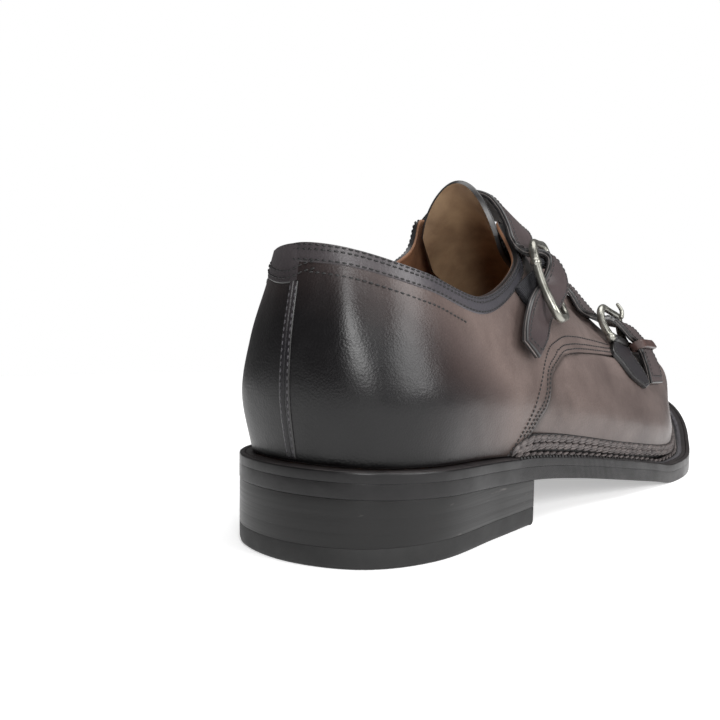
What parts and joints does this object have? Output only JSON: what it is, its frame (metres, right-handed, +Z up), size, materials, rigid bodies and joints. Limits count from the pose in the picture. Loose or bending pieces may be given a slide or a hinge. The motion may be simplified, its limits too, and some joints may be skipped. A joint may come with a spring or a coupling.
{
  "type": "double monk strap shoe",
  "caption": "Low leather dress shoe for the right foot, with a tall tongue, straps over the instep closed by side buckles, a braided welt and a stacked heel.",
  "frame": {"origin": "on the floor, at the middle of the heel's underside", "axes": "+Z up, +Y from the heel to the toe, +X towards the outer side of the right foot, where the buckles are"},
  "size_m": [0.1009, 0.2996, 0.118],
  "materials": {
    "upper_leather": "polished calf with a dark-to-taupe patina",
    "keeper_leather": "satin",
    "sole_leather": "burnished sole edge",
    "insole_leather": "natural tan lining leather",
    "elastic": "ribbed black elastic",
    "top_piece": "matte",
    "buckle_metal": "antique nickel, satin"
  },
  "bodies": {
    "root": {"top_piece": "top_piece", "heel_stack": "sole_leather", "outsole": "sole_leather", "welt": "sole_leather", "insole": "insole_leather", "upper": "upper_leather", "tongue": "upper_leather", "upper_strap": "upper_leather", "lower_strap": "upper_leather", "anchor_tab": "upper_leather", "elastic_tab": "elastic", "keeper_loop": "keeper_leather", "upper_buckle": "buckle_metal", "lower_buckle": "buckle_metal", "upper_hinge_bar": "buckle_metal", "lower_hinge_bar": "buckle_metal", "lower_prong": "buckle_metal"}
  },
  "joints": []
}
